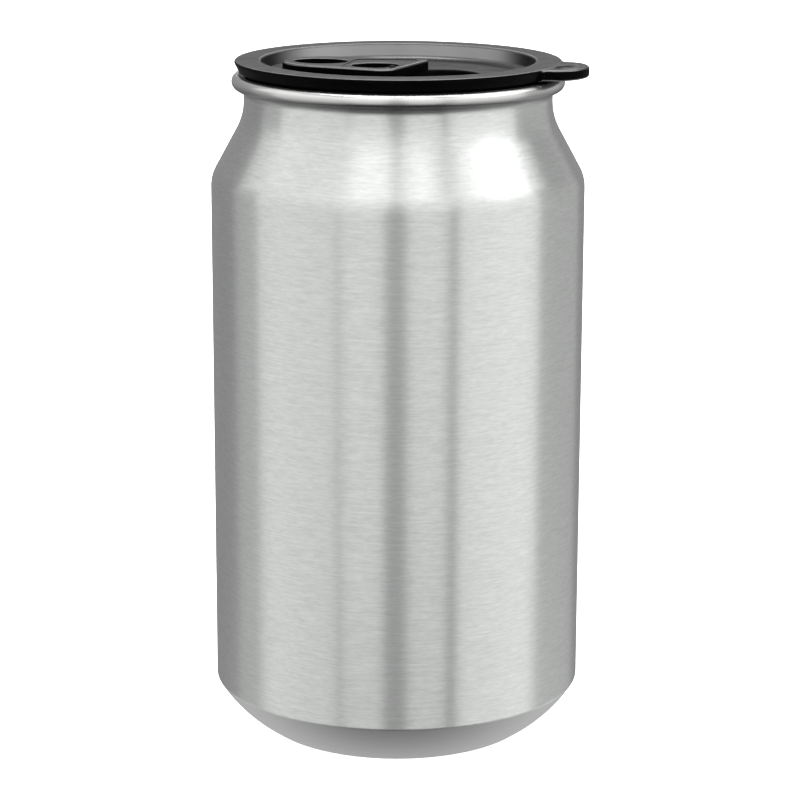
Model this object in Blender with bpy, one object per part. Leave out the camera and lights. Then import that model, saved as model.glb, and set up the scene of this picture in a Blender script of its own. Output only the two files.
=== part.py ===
"""Necked aluminium drinks can, shut with a black plastic lid that carries a ring pull.

Three solids: the can, the lid with its thumb tab and sip pocket, and the ring pull that
lies in the lid's recess. Metres, +Z up, origin at the centre of the can's base.
"""

import math

import bmesh
import bpy
from mathutils import Matrix, Vector

MM = 0.001
GAP = 0.3 * MM  # clearance between pieces that rest on each other
SEGMENTS = 88  # facets round the can
LID_SEGMENTS = 80  # facets round the lid

# Can: the outside, from the base up
CAN_RADIUS = 33.1 * MM
STAND_OUTER = 24.4 * MM  # corner between the stand ring and the slope above it
STAND_INNER = 21.8 * MM
DOME_RADIUS = 20.6 * MM  # edge of the concave base
DOME_EDGE = 2.4 * MM
DOME_DEPTH = 8.5 * MM
SLOPE_FOOT = (25.0 * MM, 0.45 * MM)  # radius and height where the base slope starts
CREASE_HEIGHT = 8.7 * MM
SLOPE_BULGE = 0.65 * MM
SHOULDER_HEIGHT = 100.7 * MM
NECK_RADIUS = 27.2 * MM
NECK_HEIGHT = 111.5 * MM  # corner between the cone of the shoulder and the neck
SHOULDER_ROUND = 6.5 * MM
NECK_ROUND = 11.0 * MM
EDGE_ROUND = 0.8 * MM

# Can: the rolled rim and the mouth that takes the lid's plug
RIM_RADIUS = 28.18 * MM
RIM_HEIGHT = 117.5 * MM
RIM_HALF_WIDTH = 1.15 * MM
RIM_HALF_HEIGHT = 1.3 * MM
FILLET_HEIGHT = 1.3 * MM  # the neck curls out to the rim's foot over this height
MOUTH_RADIUS = 26.6 * MM
MOUTH_FLOOR = 114.9 * MM

# Lid
LID_TOP = 121.25 * MM
LID_RADIUS = 28.95 * MM
SKIRT_RADIUS = 28.0 * MM  # the skirt tapers in to this at its foot
SKIRT_FOOT = RIM_HEIGHT + RIM_HALF_HEIGHT + GAP
PLUG_RADIUS = MOUTH_RADIUS - GAP
PLUG_FOOT = MOUTH_FLOOR + GAP
RECESS_RADIUS = 24.2 * MM
RECESS_FLOOR_RADIUS = 23.4 * MM
RECESS_FLOOR = 118.4 * MM
LID_EDGE = 0.35 * MM
FLOOR_ROUND = 0.7 * MM

# Thumb tab on the lid's edge
THUMB_TURN = math.radians(-17)
THUMB_HALF_WIDTH = 5.8 * MM
THUMB_REACH = 34.2 * MM
THUMB_THICKNESS = 1.8 * MM
THUMB_DROP = 0.05 * MM  # its top lies this far below the ring's
THUMB_FLARE = 1.5 * MM
SCOOP_CENTRE = 30.3 * MM
SCOOP_RADIUS = 3.0 * MM
SCOOP_DEPTH = 0.4 * MM

# Sip pocket in the recess floor, and the ring pull, both laid out along one line
PULL_TURN = math.radians(-14.4)
SIP_CENTRE = (7.3 * MM, 0.0)
SIP_HALF = (7.7 * MM, 8.7 * MM)
SIP_DEPTH = 2.0 * MM
SIP_EDGE = 0.3 * MM

# Ring pull, in its own frame: X runs from the finger ring to the nose
PULL_FOOT = RECESS_FLOOR + GAP
PULL_TOP = 120.5 * MM
PULL_EDGE = 0.65 * MM
RING_END = (-12.6 * MM, 0.75 * MM)
RING_HALF = (8.2 * MM, 7.2 * MM)
NEAR_CORNER = (-1.8 * MM, -5.55 * MM)  # centres and radii of the nose's two corners
NEAR_ROUND = 3.1 * MM
FAR_CORNER = (1.75 * MM, 7.0 * MM)
FAR_ROUND = 1.9 * MM
WELL_DEPTH = 0.3 * MM  # the web between ring and nose lies this far below the top
WELL_CORNERS = ((-7.9 * MM, -4.5 * MM), (-7.9 * MM, 4.2 * MM), (-2.0 * MM, -5.6 * MM), (0.9 * MM, 6.0 * MM))
WELL_ROUND = 1.0 * MM
FINGER_CENTRE = (-14.4 * MM, 1.2 * MM)
FINGER_HALF = (4.8 * MM, 3.5 * MM)
WINDOW_CENTRE = (-3.6 * MM, -1.9 * MM)
WINDOW_HALF = (4.25 * MM, 3.7 * MM)
WINDOW_TURN = math.radians(14)
COLLAR_WIDTH = 1.0 * MM  # raised lip round the window
COLLAR_DROP = 0.1 * MM
HOLE_EDGE = 0.25 * MM
PIP_CENTRE = (0.2 * MM, -5.0 * MM)  # small round stud where lip and rim meet
PIP_RADIUS = 0.65 * MM
PIP_TOP = 120.75 * MM
OUTLINE_POINTS = 48

ALUMINIUM = {"colour": (0.80, 0.81, 0.80), "roughness": 0.3, "metallic": 1.0}
BLACK_PLASTIC = {"colour": (0.018, 0.018, 0.018), "roughness": 0.38, "metallic": 0.0}
SHARP_ANGLE = math.radians(40)


def clear_scene():
    """Remove every object that is already there."""
    for item in list(bpy.data.objects):
        bpy.data.objects.remove(item)


def material(name, look):
    """A Principled material with one colour, roughness and metallic value."""
    result = bpy.data.materials.new(name)
    result.use_nodes = True
    shader = result.node_tree.nodes["Principled BSDF"]
    shader.inputs["Base Color"].default_value = (*look["colour"], 1)
    shader.inputs["Roughness"].default_value = look["roughness"]
    shader.inputs["Metallic"].default_value = look["metallic"]
    return result


def add_object(name, form, look=None):
    """Turn a bmesh into an object in the scene, shaded smooth between sharp edges."""
    bmesh.ops.remove_doubles(form, verts=form.verts, dist=0.001 * MM)
    bmesh.ops.recalc_face_normals(form, faces=form.faces)
    mesh = bpy.data.meshes.new(name)
    form.to_mesh(mesh)
    form.free()
    mesh.shade_smooth()
    mesh.set_sharp_from_angle(angle=SHARP_ANGLE)
    item = bpy.data.objects.new(name, mesh)
    bpy.context.scene.collection.objects.link(item)
    if look:
        mesh.materials.append(look)
    return item


def ellipse_arc(centre, half, start, end, steps):
    """Points on an ellipse from one angle to another, both in degrees."""
    angles = [math.radians(start + (end - start) * k / steps) for k in range(steps + 1)]
    return [(centre[0] + half[0] * math.cos(a), centre[1] + half[1] * math.sin(a)) for a in angles]


def bulged(start, end, rise, steps):
    """Points on the arc from start to end that stands out to the right by rise."""
    a, b = Vector(start), Vector(end)
    chord = b - a
    radius = (chord.length / 2) ** 2 / (2 * rise) + rise / 2
    right = Vector((chord.y, -chord.x)).normalized()
    centre = (a + b) / 2 + right * (rise - radius)
    first, last = a - centre, b - centre
    swing = first.angle_signed(last)
    return [tuple(centre + Matrix.Rotation(-swing * k / steps, 2) @ first) for k in range(steps + 1)]


def rounded(corners):
    """Round each corner (x, y, radius, steps) of an open path; a corner (x, y) stays sharp."""
    path = []
    for i, corner in enumerate(corners):
        here = Vector(corner[:2])
        if len(corner) == 2:
            path.append(tuple(here))
            continue
        radius, steps = corner[2:]
        back = (Vector(corners[i - 1][:2]) - here).normalized()
        ahead = (Vector(corners[i + 1][:2]) - here).normalized()
        half = back.angle(ahead) / 2
        centre = here + (back + ahead).normalized() * radius / math.sin(half)
        first = here + back * radius / math.tan(half) - centre
        last = here + ahead * radius / math.tan(half) - centre
        swing = first.angle_signed(last)
        path += [tuple(centre + Matrix.Rotation(-swing * k / steps, 2) @ first) for k in range(steps + 1)]
    return path


def turned(profile, segments):
    """Spin a profile of (radius, height) points, which starts and ends on the axis, about Z."""
    form = bmesh.new()
    points = [form.verts.new((radius, 0, height)) for radius, height in profile]
    edges = [form.edges.new(pair) for pair in zip(points, points[1:])]
    bmesh.ops.spin(
        form,
        geom=points + edges,
        axis=(0, 0, 1),
        cent=(0, 0, 0),
        steps=segments,
        angle=math.tau,
        use_merge=True,
    )
    return form


def lofted(levels):
    """A closed solid through a stack of (outline, height) levels with equal point counts."""
    form = bmesh.new()
    rings = [[form.verts.new((x, y, height)) for x, y in outline] for outline, height in levels]
    count = len(rings[0])
    for low, high in zip(rings, rings[1:]):
        for i in range(count):
            j = (i + 1) % count
            form.faces.new((low[i], low[j], high[j], high[i]))
    form.faces.new(rings[0][::-1])
    form.faces.new(rings[-1])
    return form


def rounded_top(outline, foot, top, edge, steps=3):
    """Levels of a plate whose top edge is rounded: outline(inset) gives its points."""
    levels = [(outline(0), foot)]
    for k in range(steps + 1):
        angle = math.pi / 2 * k / steps
        levels.append((outline(edge * (1 - math.cos(angle))), top - edge * (1 - math.sin(angle))))
    return levels


def flared_hole(outline, foot, top, edge, steps=2):
    """Levels of a cutter that leaves a rounded edge at the top face, and passes it."""
    levels = [(outline(0), foot)]
    for k in range(steps + 1):
        angle = math.pi / 2 * k / steps
        levels.append((outline(-edge * (1 - math.cos(angle))), top - edge * (1 - math.sin(angle))))
    levels.append((levels[-1][0], top + edge))
    return levels


def hull_outline(rounds, inset=0.0):
    """Outline of the hull of some rounds (x, y, half x, half y), moved inwards by inset."""
    points = []
    for k in range(OUTLINE_POINTS):
        angle = math.tau * (k + 0.5) / OUTLINE_POINTS
        normal = Vector((math.cos(angle), math.sin(angle)))
        best = None
        for x, y, half_x, half_y in rounds:
            reach = math.hypot(half_x * normal.x, half_y * normal.y)
            touch = Vector((x + half_x**2 * normal.x / reach, y + half_y**2 * normal.y / reach))
            if best is None or touch.dot(normal) > best.dot(normal):
                best = touch
        points.append(tuple(best - normal * inset))
    return points


def turned_outline(outline, centre, angle):
    """An outline function turned about its centre."""
    turn = Matrix.Rotation(angle, 2)
    middle = Vector(centre)
    return lambda inset: [tuple(middle + turn @ (Vector(p) - middle)) for p in outline(inset)]


def combine(item, tools, operation):
    """Join solids to an object, or cut them from it, and remove them."""
    for tool in tools:
        change = item.modifiers.new(operation.lower(), "BOOLEAN")
        change.operation = operation
        change.object = tool
        change.solver = "EXACT"
    bpy.context.view_layer.update()
    shape = bpy.data.meshes.new_from_object(item.evaluated_get(bpy.context.evaluated_depsgraph_get()))
    item.modifiers.clear()
    old = item.data
    item.data = shape
    bpy.data.meshes.remove(old)
    shape.name = item.name
    shape.shade_smooth()
    shape.set_sharp_from_angle(angle=SHARP_ANGLE)
    for tool in tools:
        bpy.data.meshes.remove(tool.data)


def turn_about_axis(item, angle):
    """Turn an object's mesh about the can's axis."""
    item.data.transform(Matrix.Rotation(angle, 4, "Z"))


def can_profile():
    """The can's half section, from the middle of the base to the floor of the mouth."""
    dome_rise = DOME_DEPTH - DOME_EDGE
    dome_radius = (DOME_RADIUS**2 + dome_rise**2) / (2 * dome_rise)
    dome_angle = math.degrees(math.asin(DOME_RADIUS / dome_radius))
    dome_centre = (0.0, DOME_DEPTH - dome_radius)
    dome = ellipse_arc(dome_centre, (dome_radius, dome_radius), 90, 90 - dome_angle, 5)
    slope = bulged(SLOPE_FOOT, (CAN_RADIUS, CREASE_HEIGHT), SLOPE_BULGE, 6)
    corners = dome + [(STAND_INNER, 0.0, EDGE_ROUND, 2), (STAND_OUTER, 0.0, EDGE_ROUND, 2)]
    corners += slope[:-1]
    corners += [
        (CAN_RADIUS, CREASE_HEIGHT, EDGE_ROUND, 2),
        (CAN_RADIUS, SHOULDER_HEIGHT, SHOULDER_ROUND, 4),
        (NECK_RADIUS, NECK_HEIGHT, NECK_ROUND, 4),
    ]
    rim_foot = RIM_HEIGHT - RIM_HALF_HEIGHT
    fillet_half = (RIM_RADIUS - NECK_RADIUS, FILLET_HEIGHT)
    corners += ellipse_arc((RIM_RADIUS, rim_foot - FILLET_HEIGHT), fillet_half, 180, 90, 4)[:-1]
    corners += ellipse_arc((RIM_RADIUS, RIM_HEIGHT), (RIM_HALF_WIDTH, RIM_HALF_HEIGHT), -90, 180, 11)
    corners += [(MOUTH_RADIUS, rim_foot), (MOUTH_RADIUS, MOUTH_FLOOR), (0.0, MOUTH_FLOOR)]
    return rounded(corners)


def lid_profile():
    """The lid's half section, from the middle of the plug's foot to that of the recess."""
    return rounded(
        [
            (0.0, PLUG_FOOT),
            (PLUG_RADIUS, PLUG_FOOT, EDGE_ROUND, 1),
            (PLUG_RADIUS, SKIRT_FOOT),
            (SKIRT_RADIUS, SKIRT_FOOT),
            (LID_RADIUS, LID_TOP, LID_EDGE, 3),
            (RECESS_RADIUS, LID_TOP, LID_EDGE, 2),
            (RECESS_FLOOR_RADIUS, RECESS_FLOOR, FLOOR_ROUND, 3),
            (0.0, RECESS_FLOOR),
        ]
    )


def thumb_outline(inset):
    """The thumb tab seen from above, flared where it leaves the lid's edge."""
    half = THUMB_HALF_WIDTH - inset
    flare = THUMB_FLARE + inset
    edge = LID_RADIUS - inset
    flare_x = math.sqrt((edge + flare) ** 2 - (half + flare) ** 2)
    lean = math.degrees(math.atan2(half + flare, flare_x))
    end = ellipse_arc((flare_x, 0), (THUMB_REACH - inset - flare_x, half), -90, 90, 20)
    far = ellipse_arc((flare_x, half + flare), (flare, flare), 270, 180 + lean, 4)
    near = [(x, -y) for x, y in reversed(far)]
    root = 25.5 * MM
    return near + end[1:-1] + far + [(root, far[-1][1]), (root, near[0][1])]


def build_can(look):
    """The can, one solid with its rolled rim."""
    return add_object("can_body", turned(can_profile(), SEGMENTS), look)


def build_lid(look):
    """The lid: flanged ring, plug and recess, with the thumb tab and the sip pocket."""
    lid = add_object("lid", turned(lid_profile(), LID_SEGMENTS), look)
    thumb_top = LID_TOP - THUMB_DROP
    levels = rounded_top(thumb_outline, thumb_top - THUMB_THICKNESS, thumb_top, LID_EDGE)
    lower_edge = thumb_top - THUMB_THICKNESS + LID_EDGE
    levels[:1] = [(thumb_outline(LID_EDGE), thumb_top - THUMB_THICKNESS), (thumb_outline(0), lower_edge)]
    thumb = add_object("thumb", lofted(levels))
    turn_about_axis(thumb, THUMB_TURN)
    combine(lid, [thumb], "UNION")

    ball = (SCOOP_RADIUS**2 + SCOOP_DEPTH**2) / (2 * SCOOP_DEPTH)
    lift = 2 * SCOOP_DEPTH
    half_angle = math.degrees(math.acos((ball - SCOOP_DEPTH - lift) / ball))
    bowl = ellipse_arc((0, ball - SCOOP_DEPTH), (ball, ball), -90, -90 + half_angle, 6)
    scoop = add_object("scoop", turned(bowl + [(0.0, bowl[-1][1])], 32))
    scoop.data.transform(Matrix.Translation((SCOOP_CENTRE, 0, thumb_top)))
    turn_about_axis(scoop, THUMB_TURN)

    sip = [(*SIP_CENTRE, *SIP_HALF)]
    pocket_levels = flared_hole(
        lambda inset: hull_outline(sip, inset), RECESS_FLOOR - SIP_DEPTH, RECESS_FLOOR, SIP_EDGE
    )
    pocket = add_object("pocket", lofted(pocket_levels))
    turn_about_axis(pocket, PULL_TURN)
    combine(lid, [scoop, pocket], "DIFFERENCE")
    return lid


def build_pull(look):
    """The ring pull: a plate with a raised rim, a finger hole and a window with a lip."""
    near = (*NEAR_CORNER, NEAR_ROUND, NEAR_ROUND)
    far = (*FAR_CORNER, FAR_ROUND, FAR_ROUND)
    rounds = [(*RING_END, *RING_HALF), near, far]
    corners = [(*corner, WELL_ROUND, WELL_ROUND) for corner in WELL_CORNERS]

    def plate(inset):
        return hull_outline(rounds, inset)

    def finger(inset):
        return hull_outline([(*FINGER_CENTRE, *FINGER_HALF)], inset)

    def window(inset):
        flat = [(*WINDOW_CENTRE, *WINDOW_HALF)]
        return turned_outline(lambda d: hull_outline(flat, d), WINDOW_CENTRE, WINDOW_TURN)(inset)

    web_top = PULL_TOP - WELL_DEPTH
    pull = add_object("ring_pull", lofted(rounded_top(plate, PULL_FOOT, PULL_TOP, PULL_EDGE)), look)
    well = flared_hole(lambda inset: hull_outline(corners, inset), web_top, PULL_TOP, HOLE_EDGE)
    combine(pull, [add_object("well", lofted(well))], "DIFFERENCE")

    collar_top = PULL_TOP - COLLAR_DROP
    collar = rounded_top(lambda inset: window(inset - COLLAR_WIDTH), web_top - HOLE_EDGE, collar_top, HOLE_EDGE, 2)
    combine(pull, [add_object("collar", lofted(collar))], "UNION")
    pip = ellipse_arc((0, web_top), (PIP_RADIUS, PIP_TOP - web_top), -90, 90, 8)
    stud = add_object("pip", turned([(0.0, pip[0][1])] + pip[1:-1] + [(0.0, pip[-1][1])], 16))
    stud.data.transform(Matrix.Translation((*PIP_CENTRE, 0)))
    combine(pull, [stud], "UNION")

    through = PULL_FOOT - GAP
    finger_cut = add_object("finger", lofted(flared_hole(finger, through, PULL_TOP, HOLE_EDGE)))
    window_cut = add_object("window", lofted(flared_hole(window, through, collar_top, HOLE_EDGE)))
    combine(pull, [finger_cut, window_cut], "DIFFERENCE")
    turn_about_axis(pull, PULL_TURN)
    return pull


def main():
    """Build the three pieces."""
    clear_scene()
    aluminium = material("aluminium", ALUMINIUM)
    plastic = material("black_plastic", BLACK_PLASTIC)
    build_can(aluminium)
    build_lid(plastic)
    build_pull(plastic)


main()
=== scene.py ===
"""Looks of a necked, brushed aluminium drinks can with a black snap-in lid.

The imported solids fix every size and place. Finer meshes with the same driving sizes stand
for them here, each dressed in a procedural finish, in a small white studio.
"""

from __future__ import annotations

import logging
import math
from collections.abc import Callable, Sequence
from dataclasses import dataclass, field
from enum import Enum

import bmesh
import bpy
from mathutils import Matrix, Vector

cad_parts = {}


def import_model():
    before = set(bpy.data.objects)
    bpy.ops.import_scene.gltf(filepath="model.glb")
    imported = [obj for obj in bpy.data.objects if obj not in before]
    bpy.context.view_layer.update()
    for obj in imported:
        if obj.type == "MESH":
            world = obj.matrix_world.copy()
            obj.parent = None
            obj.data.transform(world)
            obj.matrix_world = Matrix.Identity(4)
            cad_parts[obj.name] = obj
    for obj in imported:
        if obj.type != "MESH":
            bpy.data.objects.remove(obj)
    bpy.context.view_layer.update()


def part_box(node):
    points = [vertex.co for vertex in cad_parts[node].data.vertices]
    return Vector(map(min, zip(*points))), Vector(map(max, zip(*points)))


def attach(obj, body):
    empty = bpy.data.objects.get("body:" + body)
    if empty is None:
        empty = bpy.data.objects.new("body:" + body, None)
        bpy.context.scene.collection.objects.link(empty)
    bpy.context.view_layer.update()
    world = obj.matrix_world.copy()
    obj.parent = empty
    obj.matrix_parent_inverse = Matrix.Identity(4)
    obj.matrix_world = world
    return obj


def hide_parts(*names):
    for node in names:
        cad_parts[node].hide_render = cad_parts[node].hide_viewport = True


LOG = logging.getLogger("can")
MM = 0.001
BODY = "root"
SHARP_ANGLE = math.radians(40)  # creases sharper than this stay sharp
WELD = 0.001 * MM  # points closer than this are one
FLAT_FACE_WEIGHT = 100  # how far a large face sets the normals at its edges
STEEP = 0.5  # upward share of a moulded face's normal, under which the face is a side
LEVEL = 0.97  # and above which it is flat

Point = tuple[float, float]
Span = tuple[float, float]
Round = tuple[float, float, float, float]  # x, y, half width, half height
Scale = tuple[float, float, float]
Colour = tuple[float, float, float]
Tone = tuple[float, float, float, float]
Settings = dict[str, object]
Values = dict[int | str, object]
Path = Sequence[tuple[Point, Enum]]  # points, each with the finish of the stretch that starts there
Levels = list[tuple[list[Point], float]]  # outlines, each with its height
Outline = Callable[[float], list[Point]]  # gives the points of an outline for an inset


class Slot(Enum):
    """The record's material slots."""

    METAL = "aluminium"
    PLASTIC = "black_plastic"


class Zone(Enum):
    """Stretches of the can that are finished alike. The value is the material's place."""

    WALL = 0
    SLOPE = 1
    DOME = 2
    RIM = 3


class Mould(Enum):
    """Faces of the moulded lid that are finished alike. The value is the material's place."""

    SATIN = 0
    POLISHED = 1
    # painted shade: steep sides take a darker, less mirroring black
    SIDE = 2
    # painted highlight: rounded edges take a lighter, more mirroring black
    EDGE = 3
    FLOOR = 4


# ---------------------------------------------------------------- shader sums


class Wire:
    """A shader socket that takes part in Python sums."""

    def __init__(self, board: Board, socket: bpy.types.NodeSocket) -> None:
        """Wrap a socket.

        Args:
            board: The board whose tree holds the socket.
            socket: The output socket.
        """
        self.board = board
        self.socket = socket

    def _math(self, operation: str, *values: Wire | float) -> Wire:
        """Add a Math node.

        Args:
            operation: The node's operation.
            values: Its inputs, in order.

        Returns:
            The node's result.
        """
        return self.board.add("ShaderNodeMath", {"operation": operation}, dict(enumerate(values)))

    def __add__(self, other: Wire | float) -> Wire:
        """Sum with a socket or a number."""
        return self._math("ADD", self, other)

    def __radd__(self, other: float) -> Wire:
        """Sum with a number on the left."""
        return self._math("ADD", other, self)

    def __sub__(self, other: Wire | float) -> Wire:
        """Difference from a socket or a number."""
        return self._math("SUBTRACT", self, other)

    def __rsub__(self, other: float) -> Wire:
        """Difference of a number on the left from this."""
        return self._math("SUBTRACT", other, self)

    def __mul__(self, other: Wire | float) -> Wire:
        """Product with a socket or a number."""
        return self._math("MULTIPLY", self, other)

    def __rmul__(self, other: float) -> Wire:
        """Product with a number on the left."""
        return self._math("MULTIPLY", other, self)

    def __abs__(self) -> Wire:
        """Size without sign."""
        return self._math("ABSOLUTE", self)

    def band(self, low: float, high: float) -> Wire:
        """How far this is from low to high.

        Args:
            low: The value that gives 0.
            high: The value that gives 1.

        Returns:
            A smooth step between the two.
        """
        settings = {"interpolation_type": "SMOOTHSTEP", "clamp": True}
        return self.board.add("ShaderNodeMapRange", settings, {0: self, 1: low, 2: high, 3: 0.0, 4: 1.0})


class Board:
    """Lays nodes in one node tree."""

    def __init__(self, owner: bpy.types.Material | bpy.types.World) -> None:
        """Start with the owner's tree.

        Args:
            owner: A material or world.
        """
        owner.use_nodes = True
        self.tree = owner.node_tree

    def node(self, kind: str, settings: Settings, values: Values) -> bpy.types.Node:
        """Add a node, set it up, then fill or link its sockets.

        Args:
            kind: The node's type.
            settings: Its properties, set first.
            values: A value or a Wire for each input, by place, identifier or name.

        Returns:
            The node.
        """
        node = self.tree.nodes.new(kind)
        for name, value in settings.items():
            setattr(node, name, value)
        for key, value in values.items():
            self.feed(node, key, value)
        return node

    def add(self, kind: str, settings: Settings, values: Values, out: int | str = 0) -> Wire:
        """Add a node and take one of its outputs.

        Args:
            kind: The node's type.
            settings: Its properties, set first.
            values: A value or a Wire for each input.
            out: The output, by place, identifier or name.

        Returns:
            The output.
        """
        return Wire(self, self.find(self.node(kind, settings, values).outputs, out))

    @staticmethod
    def find(sockets: Sequence[bpy.types.NodeSocket], key: int | str) -> bpy.types.NodeSocket:
        """Find a socket.

        Args:
            sockets: A node's inputs or outputs.
            key: The socket's place, identifier or name.

        Returns:
            The socket.
        """
        if isinstance(key, int):
            return sockets[key]
        return next((socket for socket in sockets if socket.identifier == key), None) or sockets[key]

    def feed(self, node: bpy.types.Node, key: int | str, value: object) -> None:
        """Fill or link one input.

        Args:
            node: The node.
            key: The input's place, identifier or name.
            value: A Wire to link, or a value to set.
        """
        socket = self.find(node.inputs, key)
        if isinstance(value, Wire):
            self.tree.links.new(value.socket, socket)
        else:
            socket.default_value = value

    def mix(self, factor: Wire | float, first: object, second: object) -> Wire:
        """Blend two colours.

        Args:
            factor: The share of the second.
            first: A colour or Wire.
            second: A colour or Wire.

        Returns:
            The blend.
        """
        values = {"Factor_Float": factor, "A_Color": first, "B_Color": second}
        return self.add("ShaderNodeMix", {"data_type": "RGBA"}, values, "Result_Color")

    def along(self, axis: str, space: str = "Object") -> Wire:
        """The place along one axis: in metres in a piece's own space."""
        place = self.add("ShaderNodeTexCoord", {}, {}, space)
        return self.add("ShaderNodeSeparateXYZ", {}, {0: place}, axis)

    def noise(self, scale: Scale, detail: float = 2.0, roughness: float = 0.5) -> Wire:
        """Noise from 0 to 1 in the piece's own space.

        Args:
            scale: Features a metre along each axis.
            detail: Octaves.
            roughness: How strong the finer octaves are.

        Returns:
            The noise, about 0.5 on average.
        """
        place = self.add("ShaderNodeTexCoord", {}, {}, "Object")
        stretched = self.add("ShaderNodeMapping", {}, {"Vector": place, "Scale": scale})
        values = {"Vector": stretched, "Scale": 1.0, "Detail": detail, "Roughness": roughness}
        return self.add("ShaderNodeTexNoise", {"noise_dimensions": "3D"}, values, "Fac")

    def bump(self, height: Wire) -> Wire:
        """Relief of the surface.

        Args:
            height: The relief, in metres.

        Returns:
            The changed normal.
        """
        values = {"Height": height, "Distance": 1.0, "Strength": 1.0}
        return self.add("ShaderNodeBump", {}, values, "Normal")


def opaque(colour: Colour) -> Tone:
    """A colour as a node takes it."""
    return (*colour, 1.0)


def grey(value: float) -> Tone:
    """A grey as a node takes it."""
    return opaque((value, value, value))


# ---------------------------------------------------------------- finishes


@dataclass(frozen=True)
class Aluminium:
    """Bare aluminium with a grain that runs round the can.

    Attributes:
        name: The material's name.
        colour: The metal's own colour.
        roughness: Its mean roughness.
        stretch: How much a highlight is drawn out across the grain.
        grain: How much the grain changes colour and roughness.
        relief: Depth of the grain, in metres.
        waviness: Depth of the sheet's slow waves, in metres.
        fold_shade_reach: How far from the fold under the rim the painted shade reaches, in metres, or 0.
        fold_height: The fold's height, where the neck curls out to the rim.
        fold_shade_share: The share of its colour that the metal keeps in the painted shade at the fold.
        streaks: Brushing streaks a metre along each axis.
        flecks: Shorter flecks a metre along each axis.
        waves: Slow waves a metre along each axis.
        streak_share: How much of the grain is streaks. The rest is flecks.
        streak_span: The noise between which a streak goes from dark to light.
        fleck_span: The same for a fleck.
        gloss: How much smoother the grain's light parts are, as a share of the grain.
        grain_turn: The grain's direction, in turns from the tangent.
    """

    name: str
    colour: Colour
    roughness: float
    stretch: float
    grain: float
    relief: float
    waviness: float
    fold_shade_reach: float = 0.0
    fold_height: float = 116.45 * MM
    fold_shade_share: float = 0.17
    streaks: Scale = (260.0, 260.0, 3200.0)
    flecks: Scale = (700.0, 700.0, 2600.0)
    waves: Scale = (60.0, 60.0, 22.0)
    streak_share: float = 0.6
    streak_span: Span = (0.25, 0.75)
    fleck_span: Span = (0.3, 0.7)
    gloss: float = 0.5
    grain_turn: float = 0.25

    def mottle(self, board: Board) -> Wire:
        """The grain's pattern, from 0 to 1.

        Args:
            board: The material's board.

        Returns:
            The pattern.
        """
        streaks = board.noise(self.streaks, detail=3.0, roughness=0.6).band(*self.streak_span)
        flecks = board.noise(self.flecks, roughness=0.7).band(*self.fleck_span)
        return streaks * self.streak_share + flecks * (1.0 - self.streak_share)

    def tint(self, board: Board, mottle: Wire) -> Wire:
        """The metal's colour, with the grain and a painted shade in the fold under the rim.

        Args:
            board: The material's board.
            mottle: The grain's pattern.

        Returns:
            The colour.
        """
        dark = tuple(part * (1.0 - self.grain) for part in self.colour)
        light = tuple(min(1.0, part * (1.0 + self.grain)) for part in self.colour)
        tint = board.mix(mottle, opaque(dark), opaque(light))
        if not self.fold_shade_reach:
            return tint
        # painted shade: the metal's colour darkens towards the fold under the rim
        bright = abs(board.along("Z") - self.fold_height).band(0.0, self.fold_shade_reach)
        return board.mix(bright, grey(self.fold_shade_share * self.colour[0]), tint)

    def material(self) -> bpy.types.Material:
        """Make the material.

        Returns:
            The material.
        """
        material = bpy.data.materials.new(self.name)
        board = Board(material)
        shader = board.tree.nodes["Principled BSDF"]
        mottle = self.mottle(board)
        waves = board.noise(self.waves, detail=1.0)
        board.feed(shader, "Base Color", self.tint(board, mottle))
        board.feed(shader, "Roughness", (0.5 - mottle) * (self.gloss * self.grain) + self.roughness)
        board.feed(shader, "Normal", board.bump(mottle * self.relief + waves * self.waviness))
        board.feed(shader, "Metallic", 1.0)
        board.feed(shader, "Anisotropic", self.stretch)
        board.feed(shader, "Anisotropic Rotation", self.grain_turn)
        return material


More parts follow.
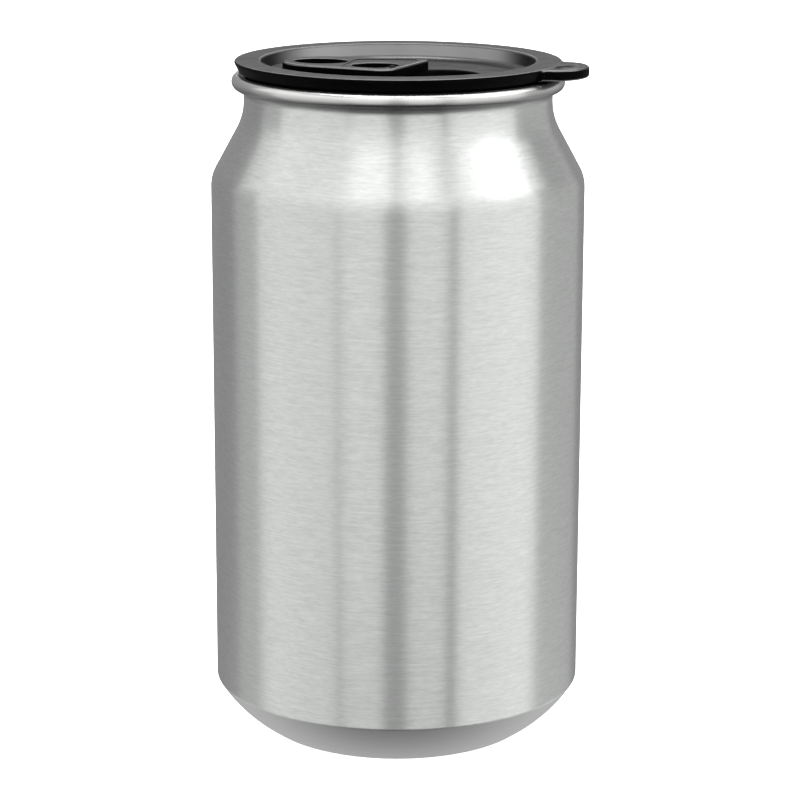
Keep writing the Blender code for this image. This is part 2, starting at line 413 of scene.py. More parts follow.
@dataclass(frozen=True)
class MouldedPlastic:
    """Black plastic from a finely blasted mould.

    Attributes:
        name: The material's name.
        colour: The plastic's own colour.
        roughness: Its mean roughness.
        unevenness: How far the roughness wanders over the moulding.
        relief: Depth of the blasted texture, in metres.
        refraction: Its index of refraction, which sets how much it mirrors.
        fade: Distances to the left and right of the axis between which it fades to a painted shade, a
            rougher and less mirroring copy of itself, or none.
        shade_roughness: Its roughness in that painted shade.
        shade_refraction: Its index of refraction there.
        pits: Blasted pits a metre.
        clouds: Slow changes of the finish a metre.
        cloud_depth: How deep they are beside the pits.
        rub_span: The changes between which the plastic goes from blasted to rubbed.
        rub: How much lighter it is where it is rubbed.
    """

    name: str
    colour: Colour
    roughness: float
    unevenness: float
    relief: float
    refraction: float
    fade: Span | None = None
    shade_roughness: float = 0.45
    shade_refraction: float = 1.18
    pits: float = 2600.0
    clouds: float = 130.0
    cloud_depth: float = 2.0
    rub_span: Span = (0.35, 0.7)
    rub: float = 1.5

    def shade_ends(self, board: Board, shader: bpy.types.Node) -> Wire:
        """The finish, faded to a rougher, less mirroring copy at the far left and right, as painted shade.

        Args:
            board: The material's board.
            shader: The full finish.

        Returns:
            The blend.
        """
        tint = opaque(self.colour)
        values = {"Base Color": tint, "Roughness": self.shade_roughness, "IOR": self.shade_refraction}
        shaded_copy = board.add("ShaderNodeBsdfPrincipled", {}, values)
        # painted shade: the far left and right ends turn to the rougher, less mirroring copy
        ends = abs(board.along("X")).band(*self.fade)
        return board.add("ShaderNodeMixShader", {}, {0: ends, 1: Wire(board, shader.outputs[0]), 2: shaded_copy})

    def material(self) -> bpy.types.Material:
        """Make the material.

        Returns:
            The material.
        """
        material = bpy.data.materials.new(self.name)
        board = Board(material)
        shader = board.tree.nodes["Principled BSDF"]
        pits = board.noise((self.pits,) * 3, detail=3.0, roughness=0.6)
        clouds = board.noise((self.clouds,) * 3, detail=3.0)
        rubbed = clouds.band(*self.rub_span)
        tint = board.mix(rubbed, opaque(self.colour), grey(self.rub * self.colour[0]))
        board.feed(shader, "Base Color", tint)
        board.feed(shader, "Roughness", (rubbed - 0.5) * self.unevenness + self.roughness)
        board.feed(shader, "Normal", board.bump((pits + clouds * self.cloud_depth) * self.relief))
        board.feed(shader, "IOR", self.refraction)
        if self.fade:
            board.feed(board.tree.nodes["Material Output"], "Surface", self.shade_ends(board, shader))
        return material


@dataclass(frozen=True)
class PaleFloor:
    """Matt white paper, lit from behind so that it stays white beside the can.

    Attributes:
        name: The material's name.
        tone: How light it is.
        shade: How light its fibres' shaded side is, as a share of that.
        glow: How much light comes through it.
        roughness: Its roughness.
        fibres: Its fibres a metre.
    """

    name: str = "white_paper"
    tone: float = 0.9
    shade: float = 0.99
    glow: float = 0.88
    roughness: float = 0.9
    fibres: float = 900.0

    def material(self) -> bpy.types.Material:
        """Make the material.

        Returns:
            The material.
        """
        material = bpy.data.materials.new(self.name)
        board = Board(material)
        shader = board.tree.nodes["Principled BSDF"]
        fibres = board.noise((self.fibres,) * 3)
        board.feed(shader, "Base Color", board.mix(fibres, grey(self.tone * self.shade), grey(self.tone)))
        board.feed(shader, "Roughness", self.roughness)
        board.feed(shader, "Emission Color", grey(self.glow))
        board.feed(shader, "Emission Strength", 1.0)
        return material


# Metal: name, colour, roughness, stretch, grain, relief, waviness, reach of the painted shade under the
# rim.
METALS: dict[Zone, Aluminium] = {
    Zone.WALL: Aluminium("brushed_wall", (0.855, 0.873, 0.855), 0.30, 0.85, 0.10, 4e-6, 4e-5, 1.7 * MM),
    # the slope's darker colour is partly the drawn base's own tone, partly painted shade under the can
    Zone.SLOPE: Aluminium("drawn_and_shaded_slope", (0.71, 0.72, 0.71), 0.42, 0.4, 0.02, 0.0, 1e-5),
    Zone.DOME: Aluminium("drawn_dome", (0.72, 0.73, 0.72), 0.36, 0.5, 0.05, 2e-6, 0.0),
    Zone.RIM: Aluminium("rolled_rim", (0.94, 0.94, 0.93), 0.25, 0.4, 0.03, 1e-6, 0.0, 1.7 * MM),
}

BLACK: Colour = (0.001, 0.001, 0.0011)
# A lighter black: on the rounded edges it is painted highlight; the polished recess wall has it too.
LIGHTER_BLACK: Colour = (0.003, 0.003, 0.0031)
# The darker black of the steep sides is painted shade.
DEEP_BLACK: Colour = (0.0005, 0.0005, 0.0006)
# where the polished recess wall fades to its painted shade, left and right of the axis
SHADED_ENDS: Span = (17.8 * MM, 23.5 * MM)

# Plastic: name, colour, roughness, unevenness, relief, refraction, fade to painted shade.
PLASTICS: dict[Mould, MouldedPlastic] = {
    Mould.SATIN: MouldedPlastic("satin_black", BLACK, 0.38, 0.14, 4e-6, 1.22),
    Mould.POLISHED: MouldedPlastic("polished_black", LIGHTER_BLACK, 0.36, 0.10, 2e-6, 4.2, SHADED_ENDS),
    Mould.SIDE: MouldedPlastic("shaded_black", DEEP_BLACK, 0.45, 0.10, 4e-6, 1.1),
    Mould.EDGE: MouldedPlastic("edge_highlight", LIGHTER_BLACK, 0.30, 0.10, 2e-6, 2.6),
    Mould.FLOOR: MouldedPlastic("shaded_floor", BLACK, 0.40, 0.14, 4e-6, 1.165),
}


# ---------------------------------------------------------------- outlines and sections


def arc(centre: Point, half: Point, start: float, end: float, steps: int) -> list[Point]:
    """Points on an ellipse.

    Args:
        centre: Its centre.
        half: Its half width and half height.
        start: The first angle, in degrees.
        end: The last angle, in degrees.
        steps: How many steps lie between them.

    Returns:
        The points, both ends among them.
    """
    angles = [math.radians(start + (end - start) * k / steps) for k in range(steps + 1)]
    return [(centre[0] + half[0] * math.cos(a), centre[1] + half[1] * math.sin(a)) for a in angles]


def swept(centre: Vector, first: Vector, last: Vector, steps: int) -> list[Point]:
    """Points on the arc about a centre from one spoke to another.

    Args:
        centre: The arc's centre.
        first: From the centre to the first point.
        last: From the centre to the last point.
        steps: How many steps lie between them.

    Returns:
        The points, both ends among them.
    """
    swing = first.angle_signed(last)
    return [tuple(centre + Matrix.Rotation(-swing * k / steps, 2) @ first) for k in range(steps + 1)]


def bulged(start: Point, end: Point, rise: float, steps: int) -> list[Point]:
    """Points on an arc that stands out to the right of its chord.

    Args:
        start: The chord's start.
        end: Its end.
        rise: How far the arc stands out.
        steps: How many steps it has.

    Returns:
        The points, both ends among them.
    """
    a, b = Vector(start), Vector(end)
    chord = b - a
    radius = (chord.length / 2) ** 2 / (2 * rise) + rise / 2
    right = Vector((chord.y, -chord.x)).normalized()
    centre = (a + b) / 2 + right * (rise - radius)
    return swept(centre, a - centre, b - centre, steps)


@dataclass
class Corner:
    """A corner of a half section.

    Attributes:
        radius: Its distance from the axis.
        height: Its height.
        zone: The finish of the stretch that starts here, whose value is a material's place.
        round: The radius that rounds it, or 0.
        steps: The steps of that rounding.
    """

    radius: float
    height: float
    zone: Enum = Mould.SATIN
    round: float = 0.0
    steps: int = 8

    @property
    def place(self) -> Vector:
        """The corner as a vector."""
        return Vector((self.radius, self.height))


def section(corners: Sequence[Corner]) -> Path:
    """Round the corners of a half section.

    Args:
        corners: Its corners, from axis to axis.

    Returns:
        Each point with the finish of the stretch that starts at it.
    """
    path = []
    for i, corner in enumerate(corners):
        if not corner.round:
            path.append((tuple(corner.place), corner.zone))
            continue
        back = (corners[i - 1].place - corner.place).normalized()
        ahead = (corners[i + 1].place - corner.place).normalized()
        half = back.angle(ahead) / 2
        centre = corner.place + (back + ahead).normalized() * corner.round / math.sin(half)
        reach = corner.round / math.tan(half)
        spokes = (corner.place + side * reach - centre for side in (back, ahead))
        path += [(point, corner.zone) for point in swept(centre, *spokes, corner.steps)]
    return path


def hull_outline(rounds: Sequence[Round], inset: float, count: int) -> list[Point]:
    """Outline of the hull of some rounds.

    Args:
        rounds: Each as x, y, half width, half height.
        inset: How far the outline moves inwards.
        count: How many points it has.

    Returns:
        The points.
    """
    points = []
    for k in range(count):
        angle = math.tau * (k + 0.5) / count
        normal = Vector((math.cos(angle), math.sin(angle)))
        touches = []
        for x, y, half_x, half_y in rounds:
            reach = math.hypot(half_x * normal.x, half_y * normal.y)
            touches.append(Vector((x + half_x**2 * normal.x / reach, y + half_y**2 * normal.y / reach)))
        best = max(touches, key=normal.dot)
        points.append(tuple(best - normal * inset))
    return points


# ---------------------------------------------------------------- meshes


def new_piece(
    name: str, form: bmesh.types.BMesh, materials: Sequence[bpy.types.Material] = ()
) -> bpy.types.Object:
    """Make an object from a bmesh, shaded smooth between sharp edges.

    Args:
        name: The object's name.
        form: The bmesh, which is freed.
        materials: Its materials.

    Returns:
        The object.
    """
    bmesh.ops.remove_doubles(form, verts=form.verts, dist=WELD)
    bmesh.ops.recalc_face_normals(form, faces=form.faces)
    mesh = bpy.data.meshes.new(name)
    form.to_mesh(mesh)
    form.free()
    mesh.shade_smooth()
    mesh.set_sharp_from_angle(angle=SHARP_ANGLE)
    piece = bpy.data.objects.new(name, mesh)
    bpy.context.scene.collection.objects.link(piece)
    for material in materials:
        mesh.materials.append(material)
    return piece


def turned(path: Path, segments: int) -> bmesh.types.BMesh:
    """Turn a half section, from axis to axis, about Z.

    Args:
        path: Its points, each with the finish of the stretch that starts at it.
        segments: Facets round the axis.

    Returns:
        The form.
    """
    form = bmesh.new()
    angles = [math.tau * k / segments for k in range(segments)]
    spokes = [(math.cos(angle), math.sin(angle)) for angle in angles]
    rings = [[form.verts.new((r * c, r * s, z)) for c, s in spokes] for (r, z), _ in path[1:-1]]
    ends = [form.verts.new((0.0, 0.0, path[k][0][1])) for k in (0, -1)]
    for i, (low, high) in enumerate(zip(rings, rings[1:])):
        for k in range(segments):
            j = (k + 1) % segments
            face = form.faces.new((low[k], low[j], high[j], high[k]))
            face.material_index = path[i + 1][1].value
    for k in range(segments):
        j = (k + 1) % segments
        form.faces.new((ends[0], rings[0][j], rings[0][k])).material_index = path[0][1].value
        form.faces.new((ends[1], rings[-1][k], rings[-1][j])).material_index = path[-2][1].value
    return form


def lofted(levels: Levels) -> bmesh.types.BMesh:
    """A closed solid through a stack of outlines.

    Args:
        levels: Each outline with its height. They have equal point counts.

    Returns:
        The form.
    """
    form = bmesh.new()
    rings = [[form.verts.new((x, y, height)) for x, y in outline] for outline, height in levels]
    count = len(rings[0])
    for low, high in zip(rings, rings[1:]):
        for k in range(count):
            j = (k + 1) % count
            form.faces.new((low[k], low[j], high[j], high[k]))
    form.faces.new(rings[0][::-1])
    form.faces.new(rings[-1])
    return form


def dressed(form: bmesh.types.BMesh, steep: float = STEEP) -> bmesh.types.BMesh:
    """Give the satin steep sides a painted shade and the satin rounded edges a painted highlight.

    Args:
        form: A moulded form.
        steep: The upward share of a face's normal under which the face is a side.

    Returns:
        The same form.
    """
    for face in form.faces:
        face.normal_update()
        slope = abs(face.normal.z)
        finish = Mould.SIDE if slope < steep else Mould.EDGE if slope < LEVEL else Mould.SATIN
        if face.material_index == Mould.SATIN.value:
            face.material_index = finish.value
    return form


def plate_levels(outline: Outline, foot: float, top: float, edge: float, steps: int = 6) -> Levels:
    """Levels of a plate with a rounded top edge.

    Args:
        outline: Gives the plate's outline for an inset.
        foot: Its lower height.
        top: Its upper height.
        edge: The radius of its edge. A negative one flares outwards, as a cutter does.
        steps: The steps of the edge.

    Returns:
        The levels, with one more above a flared edge.
    """
    levels = [(outline(0.0), foot)]
    for k in range(steps + 1):
        angle = math.pi / 2 * k / steps
        levels.append((outline(edge * (1 - math.cos(angle))), top - abs(edge) * (1 - math.sin(angle))))
    if edge < 0:
        levels.append((levels[-1][0], top - edge))
    return levels


def combine(piece: bpy.types.Object, tools: Sequence[bpy.types.Object], operation: str) -> None:
    """Join solids to a piece, or cut them from it, and remove them.

    Args:
        piece: The piece.
        tools: The solids.
        operation: UNION or DIFFERENCE.
    """
    for tool in tools:
        change = piece.modifiers.new(operation.lower(), "BOOLEAN")
        change.operation = operation
        change.object = tool
        change.solver = "EXACT"
    bpy.context.view_layer.update()
    shape = bpy.data.meshes.new_from_object(piece.evaluated_get(bpy.context.evaluated_depsgraph_get()))
    piece.modifiers.clear()
    old = piece.data
    piece.data = shape
    bpy.data.meshes.remove(old)
    shape.shade_smooth()
    shape.set_sharp_from_angle(angle=SHARP_ANGLE)
    for tool in tools:
        bpy.data.meshes.remove(tool.data)


def even_shading(piece: bpy.types.Object) -> None:
    """Let a piece's large flat faces keep their normals beside its rounded edges.

    Args:
        piece: The piece.
    """
    change = piece.modifiers.new("even_shading", "WEIGHTED_NORMAL")
    change.keep_sharp = True
    change.weight = FLAT_FACE_WEIGHT


# ---------------------------------------------------------------- the can


@dataclass
class CanBody:
    """The aluminium can: concave base, slope, wall, shoulder, neck and rolled rim."""

    radius: float
    segments: int = 256
    stand_inner: float = 21.8 * MM
    stand_outer: float = 24.4 * MM
    dome_radius: float = 20.6 * MM
    dome_edge: float = 2.4 * MM  # height of the edge of the concave base
    dome_depth: float = 8.5 * MM
    dome_steps: int = 24
    slope_foot: Point = (25.0 * MM, 0.45 * MM)
    slope_bulge: float = 0.65 * MM
    slope_steps: int = 24
    crease_height: float = 8.7 * MM
    shoulder_height: float = 100.7 * MM
    shoulder_round: float = 6.5 * MM
    shoulder_steps: int = 20
    neck_radius: float = 27.2 * MM
    neck_height: float = 111.5 * MM
    neck_round: float = 11.0 * MM
    neck_steps: int = 24
    edge_round: float = 0.8 * MM
    rim_radius: float = 28.18 * MM
    rim_height: float = 117.5 * MM
    rim_half: Point = (1.15 * MM, 1.3 * MM)
    rim_steps: int = 34
    curl_height: float = 1.3 * MM  # the neck curls out to the rim's foot over this height
    curl_steps: int = 12
    mouth_radius: float = 26.6 * MM
    mouth_floor: float = 114.9 * MM

    def base(self) -> list[Corner]:
        """The concave base, its stand ring and the slope above it.

        Returns:
            The corners, from the axis to just under the crease.
        """
        rise = self.dome_depth - self.dome_edge
        ball = (self.dome_radius**2 + rise**2) / (2 * rise)
        reach = math.degrees(math.asin(self.dome_radius / ball))
        dome = arc((0.0, self.dome_depth - ball), (ball, ball), 90, 90 - reach, self.dome_steps)
        crease = (self.radius, self.crease_height)
        slope = bulged(self.slope_foot, crease, self.slope_bulge, self.slope_steps)
        corners = [Corner(r, z, Zone.DOME) for r, z in dome]
        corners.append(Corner(self.stand_inner, 0.0, Zone.SLOPE, self.edge_round))
        corners.append(Corner(self.stand_outer, 0.0, Zone.SLOPE, self.edge_round))
        return corners + [Corner(r, z, Zone.SLOPE) for r, z in slope[:-1]]

    def wall(self) -> list[Corner]:
        """The crease, wall, shoulder and neck.

        Returns:
            The corners, up to the neck's rounding.
        """
        return [
            Corner(self.radius, self.crease_height, Zone.WALL, self.edge_round),
            Corner(self.radius, self.shoulder_height, Zone.WALL, self.shoulder_round, self.shoulder_steps),
            Corner(self.neck_radius, self.neck_height, Zone.WALL, self.neck_round, self.neck_steps),
        ]

    def rim(self) -> list[Corner]:
        """The neck's curl, the rolled rim and the mouth behind it.

        Returns:
            The corners, from the neck to the axis.
        """
        foot = self.rim_height - self.rim_half[1]
        reach = self.rim_radius - self.neck_radius
        centre = (self.rim_radius, foot - self.curl_height)
        curl = arc(centre, (reach, self.curl_height), 180, 90, self.curl_steps)
        roll = arc((self.rim_radius, self.rim_height), self.rim_half, -90, 180, self.rim_steps)
        corners = [Corner(r, z, Zone.WALL) for r, z in curl[:-1]]
        corners += [Corner(r, z, Zone.RIM) for r, z in roll]
        corners.append(Corner(self.mouth_radius, foot, Zone.RIM))
        corners.append(Corner(self.mouth_radius, self.mouth_floor, Zone.RIM))
        corners.append(Corner(0.0, self.mouth_floor, Zone.RIM))
        return corners

    def build(self, materials: Sequence[bpy.types.Material]) -> bpy.types.Object:
        """Turn the can.

        Args:
            materials: One for each zone, in order.

        Returns:
            The piece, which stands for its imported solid.
        """
        path = section(self.base() + self.wall() + self.rim())
        piece = new_piece("brushed_can", turned(path, self.segments), materials)
        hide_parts("can_body")
        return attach(piece, BODY)


# ---------------------------------------------------------------- the lid


@dataclass
class Lid:
    """The black lid: flanged ring, recess, thumb tab and sip pocket."""

    top: float
    segments: int = 192
    radius: float = 28.98 * MM
    skirt_radius: float = 28.0 * MM
    skirt_foot: float = 119.25 * MM
    plug_radius: float = 26.3 * MM
    plug_foot: float = 115.2 * MM
    plug_round: float = 0.8 * MM
    recess_radius: float = 24.2 * MM
    recess_floor_radius: float = 23.5 * MM
    recess_floor: float = 118.6 * MM
    recess_edge: float = 0.3 * MM
    edge: float = 0.34 * MM
    edge_steep: float = 0.78  # only the flatter part of the ring's edge gets the painted highlight
    floor_round: float = 0.7 * MM
    thumb_turn: float = math.radians(-17)
    thumb_half_width: float = 6.5 * MM
    thumb_reach: float = 34.2 * MM
    thumb_thickness: float = 1.95 * MM
    thumb_edge: float = 0.55 * MM
    thumb_drop: float = 0.05 * MM  # its top lies this far below the ring's
    thumb_flare: float = 1.5 * MM
    thumb_root: float = 25.5 * MM  # it runs into the ring as far as this radius
    tip_steps: int = 48
    flare_steps: int = 10
    scoop_centre: Point = (31.0 * MM, -1.4 * MM)
    scoop_radius: float = 2.4 * MM
    scoop_depth: float = 0.72 * MM
    scoop_spread: float = 1.5  # how much longer it is across the tab
    scoop_steps: int = 16
    scoop_segments: int = 64
    pocket_turn: float = math.radians(-14.4)
    pocket_round: Round = (7.3 * MM, 0.0, 7.7 * MM, 8.7 * MM)
    pocket_depth: float = 2.0 * MM
    pocket_edge: float = 0.3 * MM
    pocket_points: int = 96

    def ring(self) -> bmesh.types.BMesh:
        """The ring, its skirt, the plug under it and the recess.

        Returns:
            The form.
        """
        lean = (self.recess_radius - self.recess_floor_radius) / (self.top - self.recess_floor)
        under_edge = (self.recess_radius - lean * self.recess_edge, self.top - self.recess_edge)
        corners = [
            Corner(0.0, self.plug_foot),
            Corner(self.plug_radius, self.plug_foot, round=self.plug_round),
            Corner(self.plug_radius, self.skirt_foot),
            Corner(self.skirt_radius, self.skirt_foot),
            Corner(self.radius, self.top, round=self.edge),
            Corner(self.recess_radius, self.top, Mould.EDGE, self.recess_edge),
            Corner(*under_edge, Mould.POLISHED),
            Corner(self.recess_floor_radius, self.recess_floor, Mould.EDGE, self.floor_round),
            Corner(self.recess_floor_radius - 2 * self.floor_round, self.recess_floor, Mould.FLOOR),
            Corner(0.0, self.recess_floor),
        ]
        return dressed(turned(section(corners), self.segments), self.edge_steep)

    def thumb_outline(self, inset: float) -> list[Point]:
        """The thumb tab from above, flared where it leaves the ring.

        Args:
            inset: How far the outline moves inwards.

        Returns:
            Its points.
        """
        half = self.thumb_half_width - inset
        flare = self.thumb_flare + inset
        flare_x = math.sqrt((self.radius - inset + flare) ** 2 - (half + flare) ** 2)
        lean = math.degrees(math.atan2(half + flare, flare_x))
        tip = arc((flare_x, 0.0), (self.thumb_reach - inset - flare_x, half), -90, 90, self.tip_steps)
        far = arc((flare_x, half + flare), (flare, flare), 270, 180 + lean, self.flare_steps)
        near = [(x, -y) for x, y in reversed(far)]
        root = self.thumb_root
        return near + tip[1:-1] + far + [(root, far[-1][1]), (root, near[0][1])]

    def thumb(self) -> bpy.types.Object:
        """The thumb tab, with both its edges rounded.

        Returns:
            The solid.
        """
        top = self.top - self.thumb_drop
        foot = top - self.thumb_thickness
        _, *upper = plate_levels(self.thumb_outline, foot, top, self.thumb_edge)
        lower = [(outline, foot + top - height) for outline, height in reversed(upper)]
        solid = new_piece("thumb", dressed(lofted(lower + upper)))
        solid.data.transform(Matrix.Rotation(self.thumb_turn, 4, "Z"))
        return solid

    def scoop(self) -> bpy.types.Object:
        """The cutter of the finger scoop in the thumb tab.

        Returns:
            The solid.
        """
        ball = (self.scoop_radius**2 + self.scoop_depth**2) / (2 * self.scoop_depth)
        lift = 2 * self.scoop_depth
        swing = math.degrees(math.acos((ball - self.scoop_depth - lift) / ball))
        bowl = arc((0.0, ball - self.scoop_depth), (ball, ball), -90, -90 + swing, self.scoop_steps)
        path = [(point, Mould.SATIN) for point in bowl + [(0.0, bowl[-1][1])]]
        solid = new_piece("scoop", turned(path, self.scoop_segments))
        solid.data.transform(Matrix.Diagonal((1.0, self.scoop_spread, 1.0, 1.0)))
        solid.data.transform(Matrix.Translation((*self.scoop_centre, self.top - self.thumb_drop)))
        solid.data.transform(Matrix.Rotation(self.thumb_turn, 4, "Z"))
        return solid

    def pocket_outline(self, inset: float) -> list[Point]:
        """The sip pocket from above, for an inset."""
        return hull_outline([self.pocket_round], inset, self.pocket_points)

    def pocket(self) -> bpy.types.Object:
        """The cutter of the sip pocket.

        Returns:
            The solid.
        """
        foot = self.recess_floor - self.pocket_depth
        levels = plate_levels(self.pocket_outline, foot, self.recess_floor, -self.pocket_edge)
        solid = new_piece("pocket", lofted(levels))
        solid.data.transform(Matrix.Rotation(self.pocket_turn, 4, "Z"))
        return solid

    def build(self, materials: Sequence[bpy.types.Material]) -> bpy.types.Object:
        """Mould the lid.

        Args:
            materials: One for each kind of face, in order.

        Returns:
            The piece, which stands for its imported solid.
        """
        piece = new_piece("snap_lid", self.ring(), materials)
        combine(piece, [self.thumb()], "UNION")
        combine(piece, [self.scoop(), self.pocket()], "DIFFERENCE")
        even_shading(piece)
        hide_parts("lid")
        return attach(piece, BODY)


# ---------------------------------------------------------------- the ring pull


@dataclass
class RingPull:
    """The ring pull: a plate with a raised rim, a finger hole and a window with a lip."""

    foot: float
    top: float = 120.4 * MM
    turn: float = math.radians(-14.4)
    points: int = 144
    edge: float = 0.55 * MM
    ring_end: Round = (-12.8 * MM, 0.75 * MM, 8.4 * MM, 7.2 * MM)
    near_corner: Round = (-1.8 * MM, -5.55 * MM, 3.1 * MM, 3.1 * MM)
    far_corner: Round = (1.75 * MM, 7.0 * MM, 1.9 * MM, 1.9 * MM)
    well_depth: float = 0.12 * MM  # the web between ring and nose lies this far below the top
    well_edge: float = 0.1 * MM
    well_round: float = 1.0 * MM
    well_corners: tuple[Point, ...] = (
        (-7.9 * MM, -4.5 * MM),
        (-7.9 * MM, 4.2 * MM),
        (-2.0 * MM, -5.6 * MM),
        (0.9 * MM, 6.0 * MM),
    )
    finger: Round = (-14.4 * MM, 0.85 * MM, 4.8 * MM, 3.85 * MM)
    window: Round = (-3.6 * MM, -1.9 * MM, 4.25 * MM, 3.7 * MM)
    window_turn: float = math.radians(14)
    collar_drop: float = 0.1 * MM
    collar_width: float = 1.0 * MM  # raised lip round the window
    hole_edge: float = 0.25 * MM
    pip_centre: Point = (0.2 * MM, -5.0 * MM)
    pip_radius: float = 0.65 * MM
    pip_top: float = 120.75 * MM
    pip_steps: int = 16
    pip_segments: int = 32

    def plate_outline(self, inset: float) -> list[Point]:
        """The plate from above, for an inset."""
        return hull_outline([self.ring_end, self.near_corner, self.far_corner], inset, self.points)

    def well_outline(self, inset: float) -> list[Point]:
        """The sunken web between ring and nose, for an inset."""
        rounds = [(x, y, self.well_round, self.well_round) for x, y in self.well_corners]
        return hull_outline(rounds, inset, self.points)

    def finger_outline(self, inset: float) -> list[Point]:
        """The finger hole from above, for an inset."""
        return hull_outline([self.finger], inset, self.points)

    def window_outline(self, inset: float) -> list[Point]:
        """The window from above.

        Args:
            inset: How far the outline moves inwards.

        Returns:
            Its points.
        """
        middle = Vector(self.window[:2])
        turn = Matrix.Rotation(self.window_turn, 2)
        flat = hull_outline([self.window], inset, self.points)
        return [tuple(middle + turn @ (Vector(point) - middle)) for point in flat]

    def collar_outline(self, inset: float) -> list[Point]:
        """The raised lip round the window, for an inset."""
        return self.window_outline(inset - self.collar_width)

    def pip(self, web: float) -> bpy.types.Object:
        """The small round stud where lip and rim meet.

        Args:
            web: Height of the web's top.

        Returns:
            The solid.
        """
        bead = arc((0.0, web), (self.pip_radius, self.pip_top - web), -90, 90, self.pip_steps)
        places = [(0.0, bead[0][1]), *bead[1:-1], (0.0, bead[-1][1])]
        solid = new_piece("pip", turned([(place, Mould.SATIN) for place in places], self.pip_segments))
        solid.data.transform(Matrix.Translation((*self.pip_centre, 0.0)))
        return solid

    def cutter(self, outline: Outline, foot: float, top: float) -> bpy.types.Object:
        """The cutter of a hole with a rounded upper edge.

        Args:
            outline: Gives the hole's outline for an inset.
            foot: Its lower height.
            top: Its upper height.

        Returns:
            The solid.
        """
        return new_piece("cutter", dressed(lofted(plate_levels(outline, foot, top, -self.hole_edge))))

    def build(self, materials: Sequence[bpy.types.Material]) -> bpy.types.Object:
        """Mould the ring pull.

        Args:
            materials: One for each kind of face, in order.

        Returns:
            The piece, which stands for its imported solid.
        """
        web = self.top - self.well_depth
        lip = self.top - self.collar_drop
        under = self.foot - self.well_depth
        plate = plate_levels(self.plate_outline, self.foot, self.top, self.edge)
        well = plate_levels(self.well_outline, web, self.top, -self.well_edge)
        collar = plate_levels(self.collar_outline, web - self.hole_edge, lip, self.hole_edge)
        piece = new_piece("ring_tab", dressed(lofted(plate)), materials)
        combine(piece, [new_piece("well", lofted(well))], "DIFFERENCE")
        combine(piece, [new_piece("collar", dressed(lofted(collar)))], "UNION")
        combine(piece, [self.pip(web)], "UNION")
        finger = self.cutter(self.finger_outline, under, self.top)
        window = self.cutter(self.window_outline, under, lip)
        combine(piece, [finger, window], "DIFFERENCE")
        piece.data.transform(Matrix.Rotation(self.turn, 4, "Z"))
        even_shading(piece)
        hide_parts("ring_pull")
        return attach(piece, BODY)


# ---------------------------------------------------------------- the studio


@dataclass(frozen=True)
class Softbox:
    """A soft lamp panel that faces the can.

    Attributes:
        name: The lamp's name.
        azimuth: Its bearing round the can, in degrees: 0 on the camera's side, 90 at +X.
        elevation: Its height above the horizon, in degrees.
        distance: How far off it is, in metres.
        width: Its width, in metres.
        height: Its height, in metres.
        radiance: How bright its face is.
    """

    name: str
    azimuth: float
    elevation: float
    distance: float
    width: float
    height: float
    radiance: float

    def place(self, aim: Vector) -> bpy.types.Object:
        """Hang the lamp.

        Args:
            aim: What it faces.

        Returns:
            The lamp.
        """
        lamp = bpy.data.lights.new(self.name, "AREA")
        lamp.shape = "RECTANGLE"
        lamp.size = self.width
        lamp.size_y = self.height
        lamp.energy = self.radiance * math.pi * self.width * self.height
        a, e = math.radians(self.azimuth), math.radians(self.elevation)
        out = Vector((math.sin(a) * math.cos(e), -math.cos(a) * math.cos(e), math.sin(e)))
        item = bpy.data.objects.new(self.name, lamp)
        item.location = aim + out * self.distance
        item.rotation_euler = (-out).to_track_quat("-Z", "Y").to_euler()
        item.visible_camera = False
        bpy.context.scene.collection.objects.link(item)
        return item


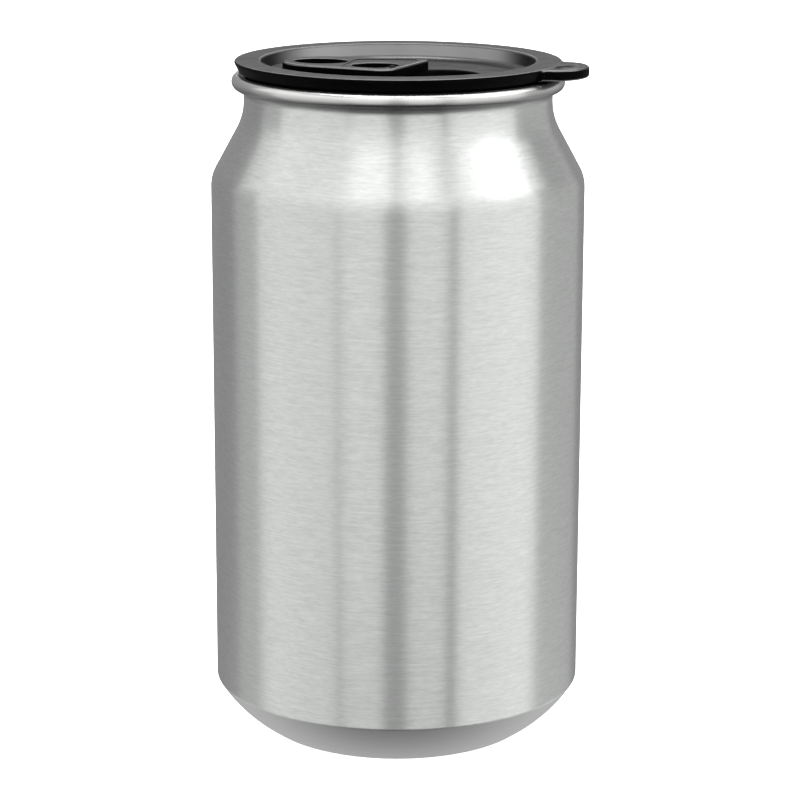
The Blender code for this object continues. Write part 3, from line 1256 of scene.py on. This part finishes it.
@dataclass
class Studio:
    """The pale floor with its sweep, the lamps and the light round them.

    Attributes:
        aim: What the lamps face.
        floor_radius: Where the floor starts to sweep up.
        sweep: The radius of its sweep.
        wall_height: How high it goes.
        sweep_steps: The steps of its sweep.
        segments: Facets round it.
        softboxes: The lamps.
        horizon: How bright the air is at eye level.
        zenith: How bright it is overhead.
        floor_front: How bright it is below, on the camera's side.
        floor_back: How bright it is below, on the far side.
        rise: The heights in a unit sphere between which the air grows from horizon to zenith.
        reach: The places in it between which the air below grows from front to back.
        skyline: The heights in it between which the air below gives way to the air above.
    """

    aim: Vector
    floor_radius: float = 2.4
    sweep: float = 0.8
    wall_height: float = 2.6
    sweep_steps: int = 12
    segments: int = 96
    # Each lamp: name, azimuth, elevation, distance, width, height, radiance.
    softboxes: tuple[Softbox, ...] = (
        Softbox("left_outer_panel", -65.0, 2.0, 0.9, 0.96, 1.9, 0.48),
        Softbox("left_inner_panel", -21.0, 12.0, 0.9, 0.47, 1.9, 0.54),
        Softbox("left_wing", -104.0, 12.0, 0.9, 0.42, 1.5, 0.15),
        Softbox("left_top_panel", -106.0, 32.0, 0.9, 0.34, 0.5, 0.30),
        Softbox("front_fill", 0.0, 5.0, 0.9, 0.20, 1.9, 0.115),
        Softbox("right_inner_panel", 18.5, 12.0, 0.9, 0.44, 1.9, 0.53),
        Softbox("right_outer_panel", 66.0, 2.0, 0.9, 1.02, 1.9, 0.57),
        Softbox("right_wing", 120.0, -12.0, 0.9, 0.80, 1.0, 0.165),
        Softbox("right_top_panel", 92.0, 47.0, 1.0, 0.74, 0.6, 1.15),
        Softbox("left_crown_panel", -25.0, 63.0, 1.0, 0.30, 0.3, 0.85),
        Softbox("right_crown_panel", 21.0, 63.0, 1.0, 0.20, 0.3, 1.1),
        Softbox("top_panel", 190.0, 84.0, 1.0, 0.9, 0.5, 2.4),
        Softbox("back_panel", 180.0, 32.0, 1.2, 0.6, 0.4, 3.0),
    )
    horizon: float = 0.26
    zenith: float = 0.5
    floor_front: float = 0.05
    floor_back: float = 0.62
    rise: Span = (0.1, 0.9)
    reach: Span = (-0.5, 0.6)
    skyline: Span = (-0.57, -0.34)

    def lay_floor(self) -> bpy.types.Object:
        """The paper floor, swept up into a wall all round.

        Returns:
            The floor.
        """
        form = bmesh.new()
        curve = arc((self.floor_radius, self.sweep), (self.sweep, self.sweep), -90, 0, self.sweep_steps)
        path = [(0.0, 0.0), *curve, (self.floor_radius + self.sweep, self.wall_height)]
        verts = [form.verts.new((r, 0.0, z)) for r, z in path]
        edges = [form.edges.new(pair) for pair in zip(verts, verts[1:])]
        bmesh.ops.spin(
            form,
            geom=verts + edges,
            axis=(0, 0, 1),
            cent=(0, 0, 0),
            steps=self.segments,
            angle=math.tau,
            use_merge=True,
        )
        floor = new_piece("floor", form, [PaleFloor().material()])
        floor.visible_glossy = False
        floor.visible_shadow = False
        return floor

    def light_air(self) -> None:
        """Fill the studio with light that grows towards the top. Below, it is weak in front only."""
        world = bpy.data.worlds.new("studio_air")
        bpy.context.scene.world = world
        board = Board(world)
        height = board.along("Z", "Generated")
        depth = board.along("Y", "Generated")
        above = board.mix(height.band(*self.rise), grey(self.horizon), grey(self.zenith))
        below = board.mix(depth.band(*self.reach), grey(self.floor_front), grey(self.floor_back))
        tone = board.mix(height.band(*self.skyline), below, above)
        board.feed(board.tree.nodes["Background"], "Color", tone)

    def build(self) -> None:
        """Set up floor, lamps and air."""
        self.lay_floor()
        for softbox in self.softboxes:
            softbox.place(self.aim)
        self.light_air()
        view = bpy.context.scene.view_settings
        view.view_transform = "Standard"
        view.look = "None"


@dataclass(frozen=True)
class Viewpoint:
    """The camera, which looks down on the can from the front.

    Attributes:
        place: Where it stands.
        pitch: How far it looks down, in degrees.
        roll: How far it leans, in radians.
        lens: Its focal length, in millimetres.
        sensor: Its sensor's width, in millimetres.
        nearest: The nearest thing it sees, in metres.
        farthest: The farthest thing it sees, in metres.
    """

    place: Vector = field(default_factory=lambda: Vector((0.476 * MM, -488.43 * MM, 180.21 * MM)))
    pitch: float = 13.87
    roll: float = 0.003
    lens: float = 125.2
    sensor: float = 36.0
    nearest: float = 0.01
    farthest: float = 20.0

    def build(self) -> bpy.types.Object:
        """Set up the camera.

        Returns:
            The camera.
        """
        camera = bpy.data.cameras.new("camera")
        camera.lens = self.lens
        camera.sensor_width = self.sensor
        camera.clip_start = self.nearest
        camera.clip_end = self.farthest
        item = bpy.data.objects.new("camera", camera)
        tilt = Matrix.Rotation(math.radians(90.0 - self.pitch), 4, "X")
        item.matrix_world = Matrix.Translation(self.place) @ tilt @ Matrix.Rotation(self.roll, 4, "Z")
        bpy.context.scene.collection.objects.link(item)
        bpy.context.scene.camera = item
        return item


# ---------------------------------------------------------------- assembly


def main() -> None:
    """Build the can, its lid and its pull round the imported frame, then the studio."""
    logging.basicConfig(level=logging.INFO, format="%(name)s: %(message)s")
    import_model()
    can_low, can_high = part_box("can_body")
    lid_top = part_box("lid")[1].z
    pull_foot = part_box("ring_pull")[0].z

    metal = [METALS[zone].material() for zone in Zone]
    plastic = [PLASTICS[mould].material() for mould in Mould]
    pieces = [
        CanBody(radius=can_high.x).build(metal),
        Lid(top=lid_top).build(plastic),
        RingPull(foot=pull_foot).build(plastic),
    ]
    for piece in pieces:
        LOG.info("%s: %d faces, rides on %s", piece.name, len(piece.data.polygons), BODY)

    Viewpoint().build()
    Studio(aim=(can_low + can_high) / 2).build()


if __name__ == "__main__":
    main()
